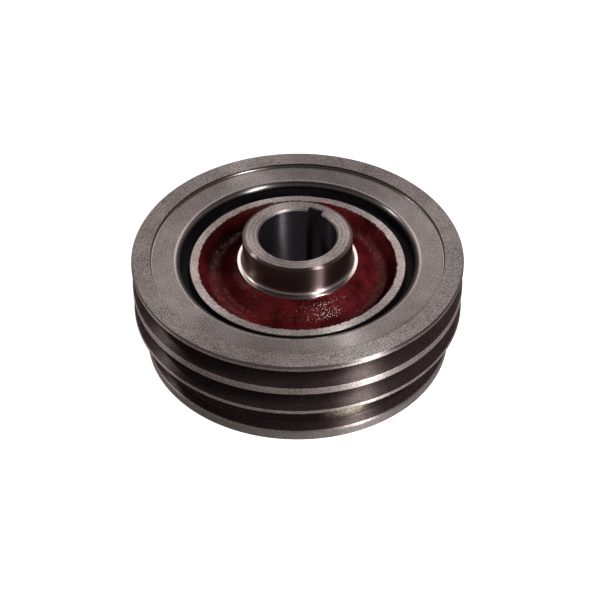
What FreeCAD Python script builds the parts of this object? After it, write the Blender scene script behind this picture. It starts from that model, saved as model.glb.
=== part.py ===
# Crankshaft pulley with a bonded damper ring: three turned pieces on one axis.
# The rim carries two V grooves and a wide flat-bottomed groove for the belts.
# A rubber ring bonds it to the hub casting, whose boss takes the crankshaft's nose
# in a keyed bore and runs in the timing cover's oil seal with its polished outside.
#
# Millimetres. Z is the pulley's axis, the engine side points up, and Z = 0 is the rim's lower face.

import FreeCAD, Part
import math
import os

# Rim: the grooved inertia ring
rim_diameter = 190.0
rim_height = 61.5
rim_edge_width = 0.7
rim_edge_depth = 1.2
rim_lower_round = 2.0
top_land = 1.8
middle_land = 4.4
lower_land = 2.1
land_edge_break = 0.3

# Belt grooves, cut into the rim below the lands
belt_groove_width = 12.7
belt_groove_depth = 11.0
belt_groove_angle = 36.0
belt_groove_root_round = 1.0

# Wide groove under the belt grooves, and the smaller flange that closes it
wide_groove_depth = 11.0
flange_drop = 6.2
flange_height = 7.1
flange_land = 1.7
flange_taper = 0.9
flange_edge_break = 0.8

# Top face of the rim: an outer band that stands proud of an inner one
outer_band_width = 10.75
outer_band_step = 2.2
outer_band_foot_round = 0.8
rim_mouth_round = 3.5

# Rubber between hub and rim
rubber_thickness = 5.45
rubber_top = 50.4
rubber_bottom = 8.0
rubber_hollow = 1.3

# Hub ring: the cylinder that carries the rubber; its diameter is a share of the rim's
hub_ring_share = 0.651
hub_ring_width = 4.95
hub_ring_height = 54.4
hub_ring_foot = 4.0
hub_ring_edge_break = 0.4
hub_ring_foot_width = 6.5

# Boss: bore, keyway, seal surface and the machined shoulder at its root
bore_diameter = 45.0
bore_chamfer = 1.0
key_width = 9.0
key_depth = 3.4
key_direction = 65.0
boss_diameter = 62.8
boss_top = 75.5
boss_edge_width = 1.6
boss_edge_depth = 0.9
boss_root_round = 2.6
shoulder_diameter = 69.3
shoulder_height = 57.5
shoulder_drop = 1.2
shoulder_edge_break = 0.3

# Cast web between boss and hub ring, seen from above: a rounded crest, then a flat-bottomed valley.
# Places and roundings are shares of the web's span, from the shoulder out to the ring.
crest_place = 0.15
crest_height = 54.8
crest_round = 0.2
valley_start = 0.45
valley_end = 0.76
valley_height = 46.8
valley_round = 0.16
web_thickness = 12.0
web_corner_round = 0.225

# Underside of the boss, where the crankshaft bolt's washer seats
lower_boss_diameter = 68.0
lower_boss_foot = 10.0
lower_boss_edge_break = 1.0

# Sizes that follow from the ones above
rim_radius = rim_diameter / 2
hub_ring_radius = rim_radius * hub_ring_share
hub_ring_inner_radius = hub_ring_radius - hub_ring_width
rim_inner_radius = hub_ring_radius + rubber_thickness
bore_radius = bore_diameter / 2
boss_radius = boss_diameter / 2
shoulder_radius = shoulder_diameter / 2
web_span = hub_ring_inner_radius - shoulder_radius
crest_radius = shoulder_radius + crest_place * web_span
valley_inner_radius = shoulder_radius + valley_start * web_span
valley_outer_radius = shoulder_radius + valley_end * web_span
lower_boss_radius = lower_boss_diameter / 2
flank_slope = math.tan(math.radians(belt_groove_angle / 2))


def point(radius, height):
    """Return the point of a half section at this radius and height."""
    return FreeCAD.Vector(radius, 0, height)


def corner_ends(before, corner, after):
    """Return the points where a corner's rounding starts and ends, and its arc if it has one."""
    here = point(corner[0], corner[1])
    rounding = corner[2]
    if rounding == 0:
        return here, here, []
    back = (point(before[0], before[1]) - here).normalize()
    ahead = (point(after[0], after[1]) - here).normalize()
    half_angle = back.getAngle(ahead) / 2
    setback = rounding / math.tan(half_angle)
    inward = (back + ahead).normalize()
    middle = here + inward * (rounding / math.sin(half_angle) - rounding)
    start = here + back * setback
    end = here + ahead * setback
    return start, end, [Part.Arc(start, middle, end).toShape()]


def turned(corners):
    """Turn a half section into a solid; each corner is (radius, height, rounding)."""
    count = len(corners)
    ends = [corner_ends(corners[i - 1], corners[i], corners[(i + 1) % count]) for i in range(count)]
    edges = []
    for i in range(count):
        edges.append(Part.LineSegment(ends[i - 1][1], ends[i][0]).toShape())
        edges.extend(ends[i][2])
    section = Part.Face(Part.Wire(edges))
    return section.revolve(FreeCAD.Vector(0, 0, 0), FreeCAD.Vector(0, 0, 1), 360)


def belt_groove(top):
    """Return the corners of one V groove, from its upper edge at height top down to its lower edge."""
    root_radius = rim_radius - belt_groove_depth
    flank_height = belt_groove_depth * flank_slope
    bottom = top - belt_groove_width
    return [
        (rim_radius, top, land_edge_break),
        (root_radius, top - flank_height, belt_groove_root_round),
        (root_radius, bottom + flank_height, belt_groove_root_round),
        (rim_radius, bottom, land_edge_break),
    ]


def wide_groove(top):
    """Return the corners of the wide groove, from the lowest land down to the flange's upper edge."""
    root_radius = rim_radius - wide_groove_depth
    flange_radius = rim_radius - flange_drop
    return [
        (rim_radius, top, land_edge_break),
        (root_radius, top - wide_groove_depth * flank_slope, belt_groove_root_round),
        (root_radius, flange_height + (flange_radius - root_radius) * flank_slope, belt_groove_root_round),
        (flange_radius, flange_height, land_edge_break),
    ]


def rim():
    """Return the grooved rim, drawn from its top face down the outside and back up the inner wall."""
    first_groove = rim_height - rim_edge_depth - top_land
    second_groove = first_groove - belt_groove_width - middle_land
    third_groove = second_groove - belt_groove_width - lower_land
    flange_radius = rim_radius - flange_drop
    flange_foot_radius = flange_radius - flange_taper
    step_radius = rim_radius - outer_band_width
    inner_band = rim_height - outer_band_step
    face = [
        (rim_radius - rim_edge_width, rim_height, 0),
        (rim_radius, rim_height - rim_edge_depth, 0),
    ]
    flange = [
        (flange_radius, flange_height - flange_land, 0),
        (flange_foot_radius, flange_edge_break, 0),
        (flange_foot_radius - flange_edge_break, 0, 0),
    ]
    inside = [
        (rim_inner_radius, 0, rim_lower_round),
        (rim_inner_radius, inner_band, rim_mouth_round),
        (step_radius, inner_band, outer_band_foot_round),
        (step_radius, rim_height, land_edge_break),
    ]
    grooves = belt_groove(first_groove) + belt_groove(second_groove) + wide_groove(third_groove)
    return turned(face + grooves + flange + inside)


def rubber():
    """Return the rubber ring; its free ends are drawn in a little, as bonded rubber is."""
    middle_radius = (hub_ring_radius + rim_inner_radius) / 2
    upper = Part.Arc(
        point(hub_ring_radius, rubber_top),
        point(middle_radius, rubber_top - rubber_hollow),
        point(rim_inner_radius, rubber_top),
    )
    lower = Part.Arc(
        point(rim_inner_radius, rubber_bottom),
        point(middle_radius, rubber_bottom + rubber_hollow),
        point(hub_ring_radius, rubber_bottom),
    )
    outside = Part.LineSegment(point(rim_inner_radius, rubber_top), point(rim_inner_radius, rubber_bottom))
    inside = Part.LineSegment(point(hub_ring_radius, rubber_bottom), point(hub_ring_radius, rubber_top))
    wire = Part.Wire([upper.toShape(), outside.toShape(), lower.toShape(), inside.toShape()])
    return Part.Face(wire).revolve(FreeCAD.Vector(0, 0, 0), FreeCAD.Vector(0, 0, 1), 360)


def hub_blank():
    """Return the hub without its keyway: boss, cast web and the ring that carries the rubber."""
    boss = [
        (bore_radius, boss_top - bore_chamfer, 0),
        (bore_radius + bore_chamfer, boss_top, 0),
        (boss_radius - boss_edge_width, boss_top, 0),
        (boss_radius, boss_top - boss_edge_depth, 0),
        (boss_radius, shoulder_height, boss_root_round),
        (shoulder_radius, shoulder_height, shoulder_edge_break),
    ]
    web_top = [
        (shoulder_radius, shoulder_height - shoulder_drop, 0),
        (crest_radius, crest_height, crest_round * web_span),
        (valley_inner_radius, valley_height, valley_round * web_span),
        (valley_outer_radius, valley_height, valley_round * web_span),
    ]
    ring = [
        (hub_ring_inner_radius, hub_ring_height, hub_ring_edge_break),
        (hub_ring_radius, hub_ring_height, hub_ring_edge_break),
        (hub_ring_radius, hub_ring_foot, hub_ring_edge_break),
        (hub_ring_radius - hub_ring_foot_width, hub_ring_foot, hub_ring_edge_break),
    ]
    web_underside = [
        (valley_outer_radius, valley_height - web_thickness, web_corner_round * web_span),
        (lower_boss_radius, crest_height - web_thickness, web_corner_round * web_span),
    ]
    lower_boss = [
        (lower_boss_radius, lower_boss_foot, lower_boss_edge_break),
        (bore_radius + bore_chamfer, lower_boss_foot, 0),
        (bore_radius, lower_boss_foot + bore_chamfer, 0),
    ]
    return turned(boss + web_top + ring + web_underside + lower_boss)


def keyway():
    """Return the block that the keyway cuts out of the bore, right through the boss."""
    floor = bore_radius + key_depth
    block = Part.makeBox(floor, key_width, boss_top, FreeCAD.Vector(0, -key_width / 2, 0))
    block.rotate(FreeCAD.Vector(0, 0, 0), FreeCAD.Vector(0, 0, 1), key_direction)
    return block


def hub():
    """Return the hub casting with its keyway."""
    return hub_blank().cut(keyway())


os.makedirs("parts", exist_ok=True)
nodes = {"pulley_rim": rim(), "rubber_ring": rubber(), "hub": hub()}
for name, shape in nodes.items():
    shape.exportStep("parts/" + name + ".step")
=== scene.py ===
import math

import bpy
import numpy as np
from mathutils import Matrix, Vector


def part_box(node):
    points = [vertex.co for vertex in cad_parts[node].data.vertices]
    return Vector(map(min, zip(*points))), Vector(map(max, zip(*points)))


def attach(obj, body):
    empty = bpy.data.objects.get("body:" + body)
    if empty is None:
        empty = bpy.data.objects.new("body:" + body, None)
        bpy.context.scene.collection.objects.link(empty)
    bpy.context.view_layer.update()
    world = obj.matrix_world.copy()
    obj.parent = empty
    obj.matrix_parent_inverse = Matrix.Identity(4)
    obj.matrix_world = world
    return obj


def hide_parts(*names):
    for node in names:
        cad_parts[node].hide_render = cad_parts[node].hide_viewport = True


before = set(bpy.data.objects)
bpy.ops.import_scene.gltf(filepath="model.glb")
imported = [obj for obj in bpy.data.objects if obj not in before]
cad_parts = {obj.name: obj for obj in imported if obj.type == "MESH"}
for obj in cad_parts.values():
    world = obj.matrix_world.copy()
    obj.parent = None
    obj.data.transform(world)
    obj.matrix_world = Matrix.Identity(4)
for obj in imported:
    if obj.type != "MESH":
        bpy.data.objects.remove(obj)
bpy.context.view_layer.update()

MM = 0.001

# Rim, from its top face down; its radius and height are the frame's
RIM_EDGE_WIDTH = 0.7 * MM
RIM_EDGE_DEPTH = 1.2 * MM
RIM_LOWER_ROUND = 2.0 * MM
TOP_LAND = 1.8 * MM
MIDDLE_LAND = 4.4 * MM
LOWER_LAND = 2.1 * MM
EDGE_BREAK = 0.3 * MM
GROOVE_WIDTH = 12.7 * MM
GROOVE_DEPTH = 11.0 * MM
GROOVE_SLOPE = math.tan(math.radians(18.0))
GROOVE_ROOT_ROUND = 1.0 * MM
FLANGE_DROP = 6.2 * MM
FLANGE_HEIGHT = 7.1 * MM
FLANGE_LAND = 1.7 * MM
FLANGE_TAPER = 0.2 * MM
FLANGE_EDGE_BREAK = 0.3 * MM
FLANGE_CORNER_ROUND = 0.1 * MM
OUTER_BAND = 10.75 * MM
BAND_STEP = 2.2 * MM
BAND_EDGE_ROUND = 0.15 * MM
BAND_FOOT_ROUND = 1.0 * MM
RIM_MOUTH_ROUND = 3.5 * MM

# Rubber between rim and hub
RUBBER_HOLLOW = 1.3 * MM

# Hub casting; the crest and both ends of the valley are (radius, height, rounding)
HUB_RING_WIDTH = 4.95 * MM
HUB_RING_HEIGHT = 54.4 * MM
HUB_FOOT_WIDTH = 6.5 * MM
HUB_EDGE_BREAK = 0.4 * MM
BORE_RADIUS = 22.5 * MM
BORE_CHAMFER = 1.0 * MM
KEY_HALF_WIDTH = 4.5 * MM
KEY_FLOOR = 25.9 * MM
KEY_DIRECTION = math.radians(65.0)
KEY_CHAMFER = 0.15 * MM
BOSS_RADIUS = 31.4 * MM
BOSS_EDGE_WIDTH = 1.6 * MM
BOSS_EDGE_DEPTH = 0.9 * MM
BOSS_EDGE_UPPER_ROUND = 0.25 * MM
BOSS_EDGE_LOWER_ROUND = 0.5 * MM
BOSS_ROOT_ROUND = 1.8 * MM
SHOULDER_RADIUS = 34.65 * MM
SHOULDER_HEIGHT = 57.5 * MM
SHOULDER_DROP = 1.2 * MM
CREST = (38.0 * MM, 54.8 * MM, 9.0 * MM)
VALLEY_START = (44.65 * MM, 46.8 * MM, 7.0 * MM)
VALLEY_END = (51.55 * MM, 46.8 * MM, 3.5 * MM)
WEB_THICKNESS = 12.0 * MM
WEB_CORNER_ROUND = 5.0 * MM
LOWER_BOSS_RADIUS = 34.0 * MM
LOWER_BOSS_FOOT = 10.0 * MM
LOWER_BOSS_EDGE = 1.0 * MM

# Cast skin under the paint: wave length, height and seed of its lumps and of its pebbles
LUMPS = (11 * MM, 0.07 * MM, 11)
PEBBLES = (3.5 * MM, 0.012 * MM, 12)

# Meshes: columns round the axis, steps in a rounding, spacing along a section, and gaps at the keyway
RIM_COLUMNS = 440
HUB_COLUMNS = 432
RUBBER_COLUMNS = 360
RUBBER_END_POINTS = 25
ARC_STEPS = 6
FINE_ARC_STEPS = 12
PLAIN_SPACING = 4.0 * MM
PAINTED_SPACING = 1.6 * MM
GUARD = 0.06 * MM
TOUCHING = 0.01 * MM
TINY = 1e-6
KEY_PAIR_GAP = math.radians(0.04)
KEY_CLEAR_GAP = math.radians(0.12)
FADE_POINTS = 5

# Finishes, as material indices on the two castings
BAND, LAND, GROOVE, SHADED_GAP_WALL, OUTER, MOUTH, STEP, ROOT, TAPER, SMOOTH, RIDGE = range(11)
FACE, POLISHED, PAINTED, BORE, RING, SHOULDER, SHADED_RING_WALL = range(7)

# Painted glow in the root of the wide groove, golden-brown, standing for the key lamp's light bounced in:
# its middle, its core, its reach, its ragged edge and where it fades
GLOW_AZIMUTH = math.radians(-72.0)
GLOW_RADIUS = 84 * MM
GLOW_CORE = 4 * MM
GLOW_REACH = 19 * MM
GLOW_RAGGED = 6 * MM
GLOW_FADED_BELOW = 9 * MM
GLOW_FULL_ABOVE = 15 * MM

# Painted shade down in the gap between rim and hub, in depths below the inner band: where it is full black
# and where it is gone, and its ragged edge
MOUTH_SHADE_FULL = 3.2 * MM
MOUTH_SHADE_GONE = 0.6 * MM
STEP_SHADE_FULL = 0.6 * MM
STEP_SHADE_GONE = 0.4 * MM
SHADE_RAGGED = 0.5 * MM

# Bites of paint on the hub ring's inner edge: where they start, their coarse and fine size, and their edge
BITE_START = 2.5 * MM
BITE_COARSE = 1.6 * MM
BITE_FINE = 3.2 * MM
BITE_EDGE = 0.12 * MM

# Tints that greys are multiplied by, and whole colours
IRON = np.array((1.0, 0.83, 0.79))
BROWNED = np.array((1.0, 0.66, 0.64))
# red tint of the polished seal surface: a painted reflection of the burgundy web below it
RED_REFLECTION_TINT = np.array((1.0, 0.68, 0.66))
VIOLET = np.array((1.0, 0.80, 0.95))
# golden-brown colours of the painted glow in the wide groove's root
GLOW_DARK, GLOW_LIGHT = (0.40, 0.33, 0.25, 1), (0.90, 0.76, 0.62, 1)
BURGUNDY_DARK, BURGUNDY_LIGHT = (0.028, 0.0018, 0.0024, 1), (0.150, 0.0125, 0.0160, 1)
BURGUNDY_EDGE = (0.045, 0.004, 0.005, 1)
PAINT_SHEEN = (1.0, 0.72, 0.62, 1)
RUBBER_DARK, RUBBER_LIGHT = (0.0045, 0.0028, 0.0050, 1), (0.0085, 0.0065, 0.0095, 1)
# black of the painted shade down in the gap between rim and hub
GAP_SHADE_BLACK = (0.006, 0.005, 0.006, 1)
FLOOR_DARK, FLOOR_LIGHT = (0.86, 0.86, 0.86, 1), (0.88, 0.88, 0.88, 1)

# Studio: brightness of the sky by the sine of the height above the horizon, lamp colours and aim, floor
SKY = ((-0.06, 0.29), (0.02, 0.02), (0.28, 0.02), (0.40, 0.36), (0.68, 0.36), (0.78, 0.0))
WARM = (1.0, 0.95, 0.93)
COOL = (0.94, 1.0, 1.0)
LAMP_AIM = Vector((0, 0, 0.05))
FLOOR_HALF = 6.0
FLOOR_GLOW = 1.15

# Camera: place, pitch below the horizon, roll, focal length in pixels of a picture of this width, sensor
CAMERA_PLACE = Vector((1.34, -823.06, 754.39)) * MM
CAMERA_PITCH = math.radians(41.514)
CAMERA_ROLL = math.radians(-0.12)
CAMERA_FOCUS = 1883.0
PICTURE_WIDTH = 600
CAMERA_SENSOR = 36.0


def node_radius(node):
    """Return the largest radius round Z that stays inside a CAD node's box."""
    low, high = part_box(node)
    return min(-low[0], -low[1], high[0], high[1])


def corner_arc(before, corner, after, steps):
    """Return a corner's points: an arc tangent to both sides, swept evenly about its centre."""
    here = np.array(corner[:2])
    rounding = corner[2]
    if rounding == 0:
        return here[None, :]
    back = np.array(before[:2]) - here
    ahead = np.array(after[:2]) - here
    back /= np.linalg.norm(back)
    ahead /= np.linalg.norm(ahead)
    half = math.acos(float(np.clip(back @ ahead, -1, 1))) / 2
    inward = (back + ahead) / np.linalg.norm(back + ahead)
    centre = here + inward * (rounding / math.sin(half))
    first = here + back * (rounding / math.tan(half)) - centre
    last = here + ahead * (rounding / math.tan(half)) - centre
    sweep = math.pi - 2 * half
    turn = np.linspace(0, 1, steps + 1)[:, None]
    arc = np.sin((1 - turn) * sweep) * first + np.sin(turn * sweep) * last
    return centre + arc / math.sin(sweep)


def side_points(start, end, finish, spacing):
    """Return the inner points of a straight side: one close to each end, the rest evenly spaced.

    The close ones keep the shading of a flat side flat right up to its roundings."""
    length = np.linalg.norm(end - start)
    guard = min(GUARD, length / 4)
    count = max(1, int(length / spacing.get(finish, PLAIN_SPACING)))
    along = np.concatenate(([guard], np.linspace(0, length, count + 1)[1:-1], [length - guard]))
    return start + (end - start) * (along[:, None] / length)


def section(corners, spacing, mirrors):
    """Return the points of a closed half section and the finish of the stretch after each point.

    Corners are (radius, height, rounding, finish, arc finish); the side after a corner has its finish, and
    so has its arc unless it names its own. spacing gives the finishes whose sides need close points, and
    mirrors those whose arcs mirror the lamps and so need small steps."""
    count = len(corners)
    arcs = []
    for i in range(count):
        steps = FINE_ARC_STEPS if corners[i][-1] in mirrors else ARC_STEPS
        arcs.append(corner_arc(corners[i - 1], corners[i], corners[(i + 1) % count], steps))
    points, finish = [], []
    for i in range(count):
        side = side_points(arcs[i][-1], arcs[(i + 1) % count][0], corners[i][3], spacing)
        points += [arcs[i], side]
        finish += [np.full(len(arcs[i]) - 1, corners[i][-1]), np.full(len(side) + 1, corners[i][3])]
    return np.concatenate(points), np.concatenate(finish)


def section_normals(points):
    """Return unit normals of a closed section, from the difference of each point's neighbours."""
    tangent = np.roll(points, -1, axis=0) - np.roll(points, 1, axis=0)
    normal = np.stack((tangent[:, 1], -tangent[:, 0]), axis=1)
    return normal / np.linalg.norm(normal, axis=1, keepdims=True)


def even_angles(columns):
    """Return the angles of evenly spaced columns round the axis, as one row."""
    return np.linspace(0, 2 * math.pi, columns, endpoint=False)[None, :]


def lathe(name, radius, height, angle, finish, materials):
    """Make a closed turned mesh: x = radius cos(angle), y = radius sin(angle), z = height.

    radius and height are grids, one row per section point and one column per angle, and both wrap round.
    The signed area of the mean section tells which way it runs, so that the faces can look outwards."""
    rows, columns = radius.shape
    places = np.stack((radius * np.cos(angle), radius * np.sin(angle), height), axis=2).reshape(-1, 3)
    index = np.arange(rows * columns).reshape(rows, columns)
    below = np.roll(index, -1, axis=0)
    beside = np.roll(index, -1, axis=1)
    across = np.roll(below, -1, axis=1)
    faces = np.stack((index, below, across, beside), axis=2).reshape(-1, 4)
    mean = np.stack((radius.mean(axis=1), height.mean(axis=1)), axis=1)
    after = np.roll(mean, -1, axis=0)
    if np.sum(mean[:, 0] * after[:, 1] - after[:, 0] * mean[:, 1]) > 0:
        faces = faces[:, ::-1]
    mesh = bpy.data.meshes.new(name)
    mesh.from_pydata(places, [], faces)
    for material in materials:
        mesh.materials.append(material)
    mesh.polygons.foreach_set("material_index", np.repeat(finish, columns).astype(np.int32))
    mesh.polygons.foreach_set("use_smooth", np.ones(rows * columns, dtype=bool))
    mesh.update()
    piece = bpy.data.objects.new(name, mesh)
    bpy.context.scene.collection.objects.link(piece)
    return piece


def lathe_evenly(name, points, finish, columns, materials):
    """Make a turned mesh whose half section is the same all the way round."""
    angle = even_angles(columns)
    spread = np.ones_like(angle)
    return lathe(name, points[:, :1] * spread, points[:, 1:] * spread, angle, finish, materials)


def groove_corners(radius, top):
    """Return the corners of one V groove from its upper edge down; both flanks lean by its half angle."""
    root = radius - GROOVE_DEPTH
    lean = GROOVE_DEPTH * GROOVE_SLOPE
    return [
        (radius, top, EDGE_BREAK, GROOVE),
        (root, top - lean, GROOVE_ROOT_ROUND, GROOVE),
        (root, top - GROOVE_WIDTH + lean, GROOVE_ROOT_ROUND, GROOVE),
        (radius, top - GROOVE_WIDTH, EDGE_BREAK, RIDGE),
    ]


def rim_corners():
    """Return the rim's corners: its top edge, down the grooved outside, and back up the inner wall."""
    radius = node_radius("pulley_rim")
    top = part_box("pulley_rim")[1][2]
    inner = node_radius("rubber_ring")
    root = radius - GROOVE_DEPTH
    flange = radius - FLANGE_DROP
    foot = flange - FLANGE_TAPER
    step = radius - OUTER_BAND
    band = top - BAND_STEP
    first = top - RIM_EDGE_DEPTH - TOP_LAND
    second = first - GROOVE_WIDTH - MIDDLE_LAND
    third = second - GROOVE_WIDTH - LOWER_LAND
    return [
        (radius - RIM_EDGE_WIDTH, top, BAND_EDGE_ROUND, SMOOTH),
        (radius, top - RIM_EDGE_DEPTH, BAND_EDGE_ROUND, LAND),
        *groove_corners(radius, first),
        *groove_corners(radius, second),
        (radius, third, EDGE_BREAK, GROOVE),
        (root, third - GROOVE_DEPTH * GROOVE_SLOPE, GROOVE_ROOT_ROUND, ROOT),
        (root, FLANGE_HEIGHT + (flange - root) * GROOVE_SLOPE, GROOVE_ROOT_ROUND, GROOVE),
        (flange, FLANGE_HEIGHT, EDGE_BREAK, LAND),
        (flange, FLANGE_HEIGHT - FLANGE_LAND, FLANGE_CORNER_ROUND, TAPER),
        (foot, FLANGE_EDGE_BREAK, FLANGE_CORNER_ROUND, LAND),
        (foot - FLANGE_EDGE_BREAK, 0, FLANGE_CORNER_ROUND, BAND),
        # The inner wall is given the black rubber material: painted shade in the gap.
        (inner, 0, RIM_LOWER_ROUND, SHADED_GAP_WALL),
        (inner, band, RIM_MOUTH_ROUND, BAND, MOUTH),
        (step, band, BAND_FOOT_ROUND, STEP, MOUTH),
        (step, top, BAND_EDGE_ROUND, OUTER),
    ]


def make_rim(materials):
    """Make the grooved rim by turning its half section."""
    points, finish = section(rim_corners(), {}, (MOUTH,))
    return lathe_evenly("rim_casting", points, finish, RIM_COLUMNS, materials)


def make_rubber(material):
    """Make the rubber ring, whose free ends are drawn in a little.

    They dip by RUBBER_HOLLOW (1 - (2 t - 1)^4), where t runs from 0 at the hub's ring to 1 at the rim."""
    inner = node_radius("hub")
    outer = node_radius("rubber_ring")
    low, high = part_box("rubber_ring")
    across = np.linspace(0, 1, RUBBER_END_POINTS)
    dip = RUBBER_HOLLOW * (1 - (2 * across - 1) ** 4)
    radius = inner + (outer - inner) * across
    upper = np.stack((radius, high[2] - dip), axis=1)
    lower = np.stack((radius[::-1], low[2] + dip), axis=1)
    points = np.concatenate((upper, lower))
    return lathe_evenly("rubber_damper", points, np.zeros(len(points)), RUBBER_COLUMNS, [material])


def hub_angles():
    """Return the hub's angles: even steps, and close sets that hold the keyway's four corners sharp."""
    even = even_angles(HUB_COLUMNS)[0]
    mouth = math.asin(KEY_HALF_WIDTH / BORE_RADIUS)
    floor = math.atan2(KEY_HALF_WIDTH, KEY_FLOOR)
    edges = np.array([mouth, floor])
    held = np.concatenate((edges, edges - KEY_PAIR_GAP, edges + KEY_PAIR_GAP))
    held = np.concatenate((held, -held)) + KEY_DIRECTION
    free = even[np.all(np.abs(even[:, None] - held[None, :]) > KEY_CLEAR_GAP, axis=1)]
    return np.sort(np.concatenate((free, held)))[None, :]


def bore_wall(angle):
    """Return the bore's radius by angle, a circle cut by the keyway's sides and floor, and where that is."""
    off = (angle - KEY_DIRECTION + math.pi) % (2 * math.pi) - math.pi
    side = KEY_HALF_WIDTH / np.maximum(np.abs(np.sin(off)), TINY)
    floor = KEY_FLOOR / np.maximum(np.cos(off), TINY)
    slot = np.minimum(side, floor)
    inside = np.abs(off) < math.asin(KEY_HALF_WIDTH / BORE_RADIUS)
    return np.where(inside, np.maximum(slot, BORE_RADIUS), BORE_RADIUS), inside


def bored_radius(points, angle):
    """Return the section's radii as a grid, with the keyed bore and its chamfer cut in."""
    wall, slot = bore_wall(angle)
    chamfer = np.where(slot, KEY_CHAMFER, BORE_CHAMFER)
    radius = points[:, :1] + np.zeros_like(angle)
    on_wall = points[:, :1] < BORE_RADIUS + TOUCHING
    on_edge = (points[:, :1] < BORE_RADIUS + BORE_CHAMFER + TOUCHING) & ~on_wall
    share = np.clip((points[:, :1] - BORE_RADIUS) / BORE_CHAMFER, 0, 1)
    radius = np.where(on_wall, wall, radius)
    radius = np.where(on_edge, wall + share * chamfer, radius)
    limit = wall + chamfer
    return np.where(~on_wall & ~on_edge & (radius < limit), limit, radius)


def cast_skin(places, wave, height, seed, modes=120):
    """Return even bumps at each place, as a casting's skin has, with height as their standard deviation.

    The bumps are the sum over random directions k of cos(2 pi k . place / length + phase), with each length
    between 0.67 and 1.5 of wave."""
    random = np.random.default_rng(seed)
    way = random.standard_normal((3, modes))
    way /= np.linalg.norm(way, axis=0)
    length = wave * random.uniform(0.67, 1.5, modes)
    phase = random.uniform(0, 2 * math.pi, modes)
    total = np.zeros(places.shape[:2])
    for mode in range(modes):
        total += np.cos(places @ (way[:, mode] * 2 * math.pi / length[mode]) + phase[mode])
    return total / total.std() * height


def even_fade(mask):
    """Return a mask along the section smoothed to zero at its ends, by a running mean cut to the mask."""
    kernel = np.ones(FADE_POINTS) / FADE_POINTS
    padded = np.concatenate((mask[-FADE_POINTS:], mask, mask[:FADE_POINTS]))
    return np.convolve(padded, kernel, mode="same")[FADE_POINTS:-FADE_POINTS] * mask


def hub_corners():
    """Return the hub's corners: bore, boss face, down to the shoulder, web, ring, and back underneath."""
    ring_radius = node_radius("hub")
    ring_inner = ring_radius - HUB_RING_WIDTH
    low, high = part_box("hub")
    top = high[2]
    foot = low[2]
    under = VALLEY_END[1] - WEB_THICKNESS
    return [
        (BORE_RADIUS, top - BORE_CHAMFER, 0, FACE),
        (BORE_RADIUS + BORE_CHAMFER, top, 0, FACE),
        (BOSS_RADIUS - BOSS_EDGE_WIDTH, top, BOSS_EDGE_UPPER_ROUND, POLISHED),
        (BOSS_RADIUS, top - BOSS_EDGE_DEPTH, BOSS_EDGE_LOWER_ROUND, POLISHED),
        (BOSS_RADIUS, SHOULDER_HEIGHT, BOSS_ROOT_ROUND, SHOULDER),
        (SHOULDER_RADIUS, SHOULDER_HEIGHT, EDGE_BREAK, SHOULDER),
        (SHOULDER_RADIUS, SHOULDER_HEIGHT - SHOULDER_DROP, EDGE_BREAK, PAINTED),
        (*CREST, PAINTED),
        (*VALLEY_START, PAINTED),
        (*VALLEY_END, PAINTED),
        (ring_inner, HUB_RING_HEIGHT, HUB_EDGE_BREAK, RING),
        # The ring's outer wall is given the black rubber material: painted shade in the gap.
        (ring_radius, HUB_RING_HEIGHT, HUB_EDGE_BREAK, SHADED_RING_WALL, RING),
        (ring_radius, foot, HUB_EDGE_BREAK, RING),
        (ring_radius - HUB_FOOT_WIDTH, foot, HUB_EDGE_BREAK, PAINTED),
        (VALLEY_END[0], under, WEB_CORNER_ROUND, PAINTED),
        (LOWER_BOSS_RADIUS, CREST[1] - WEB_THICKNESS, WEB_CORNER_ROUND, PAINTED),
        (LOWER_BOSS_RADIUS, LOWER_BOSS_FOOT, LOWER_BOSS_EDGE, FACE),
        (BORE_RADIUS + BORE_CHAMFER, LOWER_BOSS_FOOT, 0, BORE),
        (BORE_RADIUS, LOWER_BOSS_FOOT + BORE_CHAMFER, 0, BORE),
    ]


def make_hub(materials):
    """Make the hub by turning its half section, with a keyed bore and a cast skin wherever it is painted.

    The bumps push each painted point along the section's normal, and fade out at the paint's ends."""
    points, finish = section(hub_corners(), {PAINTED: PAINTED_SPACING}, (SHOULDER,))
    angle = hub_angles()
    radius = bored_radius(points, angle)
    height = points[:, 1:] + np.zeros_like(angle)
    places = np.stack((radius * np.cos(angle), radius * np.sin(angle), height), axis=2)
    bumps = cast_skin(places, *LUMPS) + cast_skin(places, *PEBBLES)
    bumps *= even_fade((finish == PAINTED).astype(float))[:, None]
    normal = section_normals(points)
    radius = radius + normal[:, :1] * bumps
    height = height + normal[:, 1:] * bumps
    return lathe("hub_casting", radius, height, angle, finish, materials)


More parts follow.
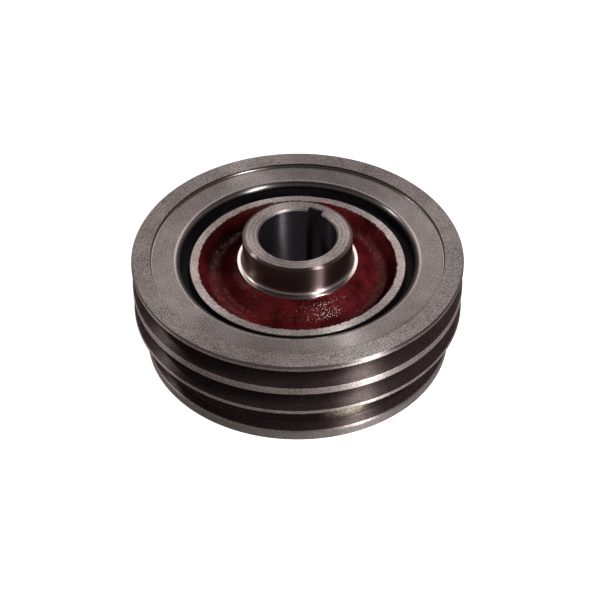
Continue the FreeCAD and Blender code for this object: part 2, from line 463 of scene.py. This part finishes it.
class Shader:
    """A material under construction: adds nodes and links them by input name."""

    def __init__(self, name):
        self.material = bpy.data.materials.new(name)
        self.material.use_nodes = True
        self.tree = self.material.node_tree
        self.surface = self.tree.nodes["Principled BSDF"]
        self.place = self.add("ShaderNodeTexCoord").outputs["Object"]

    def put(self, socket, value):
        """Link a socket to another node's output, or set it to a constant."""
        if isinstance(value, bpy.types.NodeSocket):
            self.tree.links.new(value, socket)
        else:
            socket.default_value = value

    def add(self, kind, inputs=None, **settings):
        """Add a node, set its properties, and link or set its inputs."""
        node = self.tree.nodes.new(kind)
        for key, value in settings.items():
            setattr(node, key, value)
        for key, value in (inputs or {}).items():
            self.put(node.inputs[key], value)
        return node

    def math(self, operation, first, second=0.0, third=0.0):
        """Return the output of a Math node."""
        return self.add("ShaderNodeMath", {0: first, 1: second, 2: third}, operation=operation).outputs[0]

    def noise(self, scale, detail=3.0, roughness=0.55, vector=None):
        """Return the grey output of a Noise texture; without a vector, scale is in waves a metre."""
        inputs = {"Vector": vector or self.place, "Scale": scale, "Detail": detail, "Roughness": roughness}
        return self.add("ShaderNodeTexNoise", inputs).outputs["Fac"]

    def ramp(self, value, low, high, out_low=0.0, out_high=1.0, smooth=False):
        """Return value mapped from one range to another and clamped."""
        inputs = {"Value": value, "From Min": low, "From Max": high, "To Min": out_low, "To Max": out_high}
        kind = "SMOOTHSTEP" if smooth else "LINEAR"
        return self.add("ShaderNodeMapRange", inputs, interpolation_type=kind).outputs["Result"]

    def mix(self, share, first, second):
        """Return two colours mixed by a share; a Mix node's colour sockets are its inputs 6 and 7."""
        return self.add("ShaderNodeMix", {0: share, 6: first, 7: second}, data_type="RGBA").outputs[2]

    def axes(self):
        """Return the three object coordinates."""
        return self.add("ShaderNodeSeparateXYZ", {0: self.place}).outputs

    def length(self, first, second):
        """Return the square root of the sum of two squares."""
        first_square = self.math("MULTIPLY", first, first)
        second_square = self.math("MULTIPLY", second, second)
        return self.math("SQRT", self.math("ADD", first_square, second_square))

    def marks(self, pitch, detail=2.0):
        """Return tool marks: noise along radius plus height alone, so that each mark is a full circle."""
        parts = self.axes()
        across = self.math("ADD", self.length(parts[0], parts[1]), parts[2])
        waves = self.math("MULTIPLY", across, 1 / pitch)
        stretched = self.add("ShaderNodeCombineXYZ", {0: waves}).outputs[0]
        return self.noise(1.0, detail=detail, vector=stretched)

    def bump(self, height, strength, distance, normal=None):
        """Return a Bump node's normal."""
        inputs = {"Height": height, "Strength": strength, "Distance": distance}
        if normal is not None:
            inputs["Normal"] = normal
        return self.add("ShaderNodeBump", inputs).outputs["Normal"]

    def finish(self, **inputs):
        """Link or set the surface's own inputs, named with _ for each space, and return the material."""
        for key, value in inputs.items():
            self.put(self.surface.inputs[key.replace("_", " ")], value)
        return self.material


def grey(level, tint=IRON):
    """Return a tinted grey at a brightness."""
    return (*(tint * level), 1)


def iron_look(make, dark, light, sharp, blunt, anisotropy, metallic, grain_depth, mark_share=0.2,
              mark_pitch=0.3 * MM):
    """Return the surface inputs of iron as it leaves the lathe.

    It has fine grain, rare pits, circular tool marks and highlights drawn across them. sharp and blunt are
    the roughness of the smoothest and the coarsest grains. mark_share is how much of the colour follows the
    tool marks, and mark_pitch is their spacing."""
    grain = make.noise(1500, detail=2.0, roughness=0.6)
    cloud = make.noise(70)
    lines = make.ramp(make.marks(mark_pitch), 0.35, 0.65, 0.2, 0.8)
    shade = make.math("MULTIPLY_ADD", lines, mark_share, make.math("MULTIPLY", cloud, 0.15))
    tone = make.math("MULTIPLY_ADD", grain, 0.85 - mark_share, shade)
    pits = make.ramp(make.noise(650, detail=1.0), 0.22, 0.27, 0.3, 1.0)
    spots = make.noise(2600, detail=1.0)
    return {
        "Base_Color": make.mix(make.math("MULTIPLY", make.ramp(tone, 0.38, 0.62), pits), dark, light),
        "Metallic": metallic,
        "Roughness": make.ramp(spots, 0.35, 0.65, sharp, blunt),
        "Normal": make.bump(grain, 0.5, grain_depth),
        "Anisotropic": anisotropy,
        "Anisotropic_Rotation": 0.25,
        "Tangent": make.add("ShaderNodeTangent", direction_type="RADIAL", axis="Z").outputs[0],
    }


def turned_iron(name, **look):
    """Return bare turned iron."""
    make = Shader(name)
    return make.finish(**iron_look(make, **look))


def painted_glow_iron(name, **look):
    """Return turned iron with one soft golden-brown patch of painted glow, the key lamp's light bounced into
    the groove's root, which fades low down.
    """
    make = Shader(name)
    inputs = iron_look(make, **look)
    parts = make.axes()
    # The patch is a painted glow, centred where the key lamp's streak falls on the root.
    across = make.math("SUBTRACT", parts[0], GLOW_RADIUS * math.cos(GLOW_AZIMUTH))
    along = make.math("SUBTRACT", parts[1], GLOW_RADIUS * math.sin(GLOW_AZIMUTH))
    reach = make.math("MULTIPLY_ADD", make.noise(300), GLOW_RAGGED, make.length(across, along))
    patch = make.ramp(reach, GLOW_CORE, GLOW_REACH, 1.0, 0.0, smooth=True)
    fade = make.ramp(parts[2], GLOW_FADED_BELOW, GLOW_FULL_ABOVE, 0.1, 1.0, smooth=True)
    glow_colour = make.mix(make.ramp(make.noise(900), 0.4, 0.6), GLOW_DARK, GLOW_LIGHT)
    inputs["Base_Color"] = make.mix(make.math("MULTIPLY", patch, fade), inputs["Base_Color"], glow_colour)
    return make.finish(**inputs)


def oiled_iron_shaded_below(name, black_below, bare_above, **look):
    """Return oiled turned iron with painted shade: black below one height and bare above another."""
    make = Shader(name)
    inputs = iron_look(make, **look)
    lowered = make.math("SUBTRACT", make.axes()[2], SHADE_RAGGED / 2)
    edge = make.math("MULTIPLY_ADD", make.noise(400), SHADE_RAGGED, lowered)
    bare = make.ramp(edge, black_below, bare_above, smooth=True)
    inputs["Base_Color"] = make.mix(bare, GAP_SHADE_BLACK, inputs["Base_Color"])
    return make.finish(**inputs, Coat_Weight=bare, Coat_Roughness=0.2)


def paint_edged_iron(name, paint_radius, **look):
    """Return turned iron whose inner edge has ragged bites of the casting's paint.

    Two noises carry the bites out from BITE_START inside the paint's usual radius."""
    make = Shader(name)
    inputs = iron_look(make, **look)
    parts = make.axes()
    coarse = make.math("MULTIPLY", make.noise(160, detail=2.0), BITE_COARSE)
    reach = make.math("MULTIPLY_ADD", make.noise(500), BITE_FINE, coarse)
    bitten = make.math("ADD", reach, paint_radius - BITE_START)
    past = make.math("SUBTRACT", make.length(parts[0], parts[1]), bitten)
    bare = make.ramp(past, -BITE_EDGE, BITE_EDGE)
    inputs["Base_Color"] = make.mix(bare, BURGUNDY_EDGE, inputs["Base_Color"])
    inputs["Metallic"] = make.math("MULTIPLY", bare, inputs["Metallic"])
    return make.finish(**inputs)


def burgundy_paint():
    """Return thick burgundy paint over a sand-cast skin: pebbles that glint singly, and duller hollows."""
    make = Shader("burgundy_casting_paint")
    pebble = make.noise(1000, roughness=0.6)
    lump = make.noise(130)
    patch = make.noise(45, detail=2.0)
    tone = make.math("MULTIPLY_ADD", pebble, 0.35, make.math("MULTIPLY", lump, 0.30))
    tone = make.math("MULTIPLY_ADD", patch, 0.35, tone)
    normal = make.bump(lump, 0.3, 0.10 * MM)
    return make.finish(
        Base_Color=make.mix(make.ramp(tone, 0.38, 0.62), BURGUNDY_DARK, BURGUNDY_LIGHT),
        Roughness=make.ramp(pebble, 0.3, 0.7, 0.21, 0.27),
        Normal=make.bump(pebble, 1.0, 0.22 * MM, normal),
        Specular_IOR_Level=make.ramp(make.noise(1600, detail=1.0), 0.60, 0.69, 0.005, 1.00),
        IOR=1.65,
        Specular_Tint=PAINT_SHEEN,
    )


def black_rubber(name):
    """Return moulded black rubber with a faint bloom."""
    make = Shader(name)
    bloom = make.noise(300, detail=4.0)
    return make.finish(
        Base_Color=make.mix(make.ramp(bloom, 0.4, 0.7), RUBBER_DARK, RUBBER_LIGHT),
        Roughness=make.ramp(bloom, 0.3, 0.7, 0.5, 0.7),
        Normal=make.bump(bloom, 0.4, 0.08 * MM),
        Specular_IOR_Level=0.2,
    )


def rim_finishes(gap_shade):
    """Return the rim's materials in the order of their indices."""
    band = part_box("pulley_rim")[1][2] - BAND_STEP
    return [
        turned_iron("inner_band", dark=grey(0.08), light=grey(0.50), sharp=0.43, blunt=0.57,
                    anisotropy=0.91, metallic=0.62, grain_depth=0.010 * MM),
        turned_iron("turned_land", dark=grey(0.24), light=grey(0.86), sharp=0.42, blunt=0.54,
                    anisotropy=1.00, metallic=0.90, grain_depth=0.006 * MM),
        # Darker than the lands and browned: partly painted shade deep in the V grooves, partly dirt.
        turned_iron("turned_groove", dark=grey(0.04, BROWNED), light=grey(0.14, BROWNED), sharp=0.34,
                    blunt=0.50, anisotropy=0.98, metallic=0.76, grain_depth=0.006 * MM),
        gap_shade,
        turned_iron("outer_band", dark=grey(0.07), light=grey(0.54), sharp=0.50, blunt=0.66,
                    anisotropy=0.78, metallic=0.60, grain_depth=0.010 * MM),
        # Darker than the bands and fading to black down into the gap: painted shade between rim and hub.
        oiled_iron_shaded_below("rim_mouth_fillet", band - MOUTH_SHADE_FULL, band - MOUTH_SHADE_GONE,
                   dark=grey(0.15), light=grey(0.20), sharp=0.26, blunt=0.30,
                   anisotropy=0.90, metallic=0.9, grain_depth=0.002 * MM),
        # Its dark base is painted shade on the step's wall.
        oiled_iron_shaded_below("band_step", band - STEP_SHADE_FULL, band - STEP_SHADE_GONE,
                   dark=grey(0.06, BROWNED), light=grey(0.10, BROWNED), sharp=0.26, blunt=0.30,
                   anisotropy=1.00, metallic=0.9, grain_depth=0.002 * MM),
        # Dark brown base, partly painted shade deep in the wide groove and partly dirt, under the painted
        # glow.
        painted_glow_iron("browned_root_painted_glow", dark=grey(0.04, BROWNED), light=grey(0.09, BROWNED), sharp=0.42,
                    blunt=0.54, anisotropy=1.00, metallic=0.9, grain_depth=0.006 * MM),
        turned_iron("flange_taper", dark=grey(0.24), light=grey(0.66), sharp=0.36, blunt=0.56,
                    anisotropy=0.85, metallic=0.6, grain_depth=0.008 * MM),
        turned_iron("smooth_edge", dark=grey(0.24), light=grey(0.36), sharp=0.26, blunt=0.36,
                    anisotropy=0.85, metallic=1.0, grain_depth=0.002 * MM),
        turned_iron("groove_ridge", dark=grey(0.28), light=grey(0.95), sharp=0.44, blunt=0.57,
                    anisotropy=0.98, metallic=0.76, grain_depth=0.006 * MM),
    ]


def hub_finishes(gap_shade):
    """Return the hub's materials in the order of their indices."""
    paint_radius = node_radius("hub") - HUB_RING_WIDTH + HUB_EDGE_BREAK
    return [
        turned_iron("faced_boss", dark=grey(0.07), light=grey(0.60), sharp=0.44, blunt=0.60,
                    anisotropy=0.80, metallic=0.70, grain_depth=0.008 * MM, mark_share=0.35,
                    mark_pitch=0.9 * MM),
        # Its red tint is a painted reflection of the burgundy web, which the polished iron mirrors.
        turned_iron("polished_seal_surface", dark=grey(0.17, RED_REFLECTION_TINT), light=grey(0.21, RED_REFLECTION_TINT), sharp=0.29,
                    blunt=0.32, anisotropy=1.00, metallic=1.0, grain_depth=0.0, mark_pitch=1.5 * MM),
        burgundy_paint(),
        # Far darker than the faced iron of the same boss: painted shade down the deep bore.
        turned_iron("bored_hole", dark=grey(0.06, VIOLET), light=grey(0.13, VIOLET), sharp=0.32,
                    blunt=0.36, anisotropy=1.00, metallic=0.9, grain_depth=0.002 * MM),
        paint_edged_iron("faced_ring", paint_radius, dark=grey(0.18), light=grey(0.70), sharp=0.41,
                         blunt=0.56, anisotropy=0.92, metallic=0.68, grain_depth=0.008 * MM),
        turned_iron("smooth_shoulder", dark=grey(0.50), light=grey(0.60), sharp=0.27, blunt=0.30,
                    anisotropy=0.80, metallic=1.0, grain_depth=0.0, mark_pitch=1.5 * MM),
        gap_shade,
    ]


def pale_floor():
    """Make the plain pale floor: a lit table that fills its own shadows and doesn't show in the iron."""
    half = FLOOR_HALF
    corners = [(-half, -half, 0), (half, -half, 0), (half, half, 0), (-half, half, 0)]
    mesh = bpy.data.meshes.new("floor")
    mesh.from_pydata(corners, [], [(0, 1, 2, 3)])
    make = Shader("pale_floor")
    colour = make.mix(make.noise(3.0), FLOOR_DARK, FLOOR_LIGHT)
    mesh.materials.append(make.finish(Base_Color=colour, Roughness=0.9, Emission_Color=colour,
                                      Emission_Strength=FLOOR_GLOW))
    floor = bpy.data.objects.new("floor", mesh)
    floor.visible_glossy = False
    floor.visible_diffuse = False
    bpy.context.scene.collection.objects.link(floor)


def soft_light(name, azimuth, elevation, distance, width, height, power, colour, fills):
    """Place a rectangular lamp on a sphere round the pulley, facing it.

    A lamp that fills lights matt surfaces too, and the others only show in mirrors."""
    lamp = bpy.data.lights.new(name, "AREA")
    lamp.shape = "RECTANGLE"
    lamp.size = width
    lamp.size_y = height
    lamp.energy = power
    lamp.color = colour
    turn, lift = math.radians(azimuth), math.radians(elevation)
    level = math.cos(lift)
    place = Vector((math.cos(turn) * level, math.sin(turn) * level, math.sin(lift))) * distance
    holder = bpy.data.objects.new(name, lamp)
    holder.location = LAMP_AIM + place
    holder.rotation_euler = (-place).to_track_quat("-Z", "Y").to_euler()
    holder.visible_diffuse = fills
    bpy.context.scene.collection.objects.link(holder)


def studio_world():
    """Show the iron pale walls and a pale table, with darkness at the horizon and overhead.

    SKY gives the brightness by the sine of the height above the horizon. Matt surfaces aren't lit by it."""
    world = bpy.data.worlds.new("studio")
    bpy.context.scene.world = world
    world.use_nodes = True
    world.cycles_visibility.diffuse = False
    tree = world.node_tree
    place = tree.nodes.new("ShaderNodeTexCoord")
    parts = tree.nodes.new("ShaderNodeSeparateXYZ")
    height = tree.nodes.new("ShaderNodeMapRange")
    sky = tree.nodes.new("ShaderNodeValToRGB")
    height.inputs["From Min"].default_value = -1
    tree.links.new(place.outputs["Generated"], parts.inputs[0])
    tree.links.new(parts.outputs["Z"], height.inputs["Value"])
    tree.links.new(height.outputs["Result"], sky.inputs["Fac"])
    tree.links.new(sky.outputs["Color"], tree.nodes["Background"].inputs["Color"])
    stops = sky.color_ramp.elements
    stops[1].position = 1
    for rise, level in SKY:
        stop = stops.new((rise + 1) / 2)
        stop.color = (*(np.array(WARM) * level), 1)
    stops[0].color = stops[1].color
    stops[-1].color = stops[-2].color


def place_camera():
    """Set the camera at the photograph's angle, looking along +Y and down, and make it the scene's."""
    ahead = Vector((0, math.cos(CAMERA_PITCH), -math.sin(CAMERA_PITCH)))
    down = Vector((0, -math.sin(CAMERA_PITCH), -math.cos(CAMERA_PITCH)))
    across = Vector((1, 0, 0))
    right = across * math.cos(CAMERA_ROLL) - down * math.sin(CAMERA_ROLL)
    lower = across * math.sin(CAMERA_ROLL) + down * math.cos(CAMERA_ROLL)
    camera = bpy.data.cameras.new("camera")
    camera.sensor_width = CAMERA_SENSOR
    camera.lens = CAMERA_FOCUS / PICTURE_WIDTH * CAMERA_SENSOR
    holder = bpy.data.objects.new("camera", camera)
    turned = Matrix((right, -lower, -ahead)).transposed().to_4x4()
    holder.matrix_world = Matrix.Translation(CAMERA_PLACE) @ turned
    bpy.context.scene.collection.objects.link(holder)
    bpy.context.scene.camera = holder


# The gap's walls get the black rubber material too, as painted shade between rim and hub.
gap_shade_rubber = black_rubber("rubber_as_gap_wall_shade")
rim = make_rim(rim_finishes(gap_shade_rubber))
rubber = make_rubber(black_rubber("damper_rubber"))
hub = make_hub(hub_finishes(gap_shade_rubber))
for piece, node, slot in (
    (rim, "pulley_rim", "machined_iron"),
    (rubber, "rubber_ring", "black_rubber"),
    (hub, "hub", "hub_casting"),
):
    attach(piece, "root")
    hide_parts(node)

pale_floor()
soft_light("key_light", azimuth=-46, elevation=38, distance=0.55, width=0.085, height=0.38,
           power=2.8, colour=COOL, fills=True)
soft_light("side_light", azimuth=158, elevation=44, distance=0.9, width=0.10, height=0.10,
           power=0.9, colour=COOL, fills=True)
soft_light("back_light", azimuth=90, elevation=43, distance=1.4, width=1.0, height=0.36,
           power=3.1, colour=WARM, fills=False)
soft_light("left_panel", azimuth=145, elevation=40, distance=1.2, width=0.6, height=0.5,
           power=0.27, colour=WARM, fills=False)
studio_world()
place_camera()

scene = bpy.context.scene
scene.view_settings.view_transform = "Standard"
scene.view_settings.look = "None"
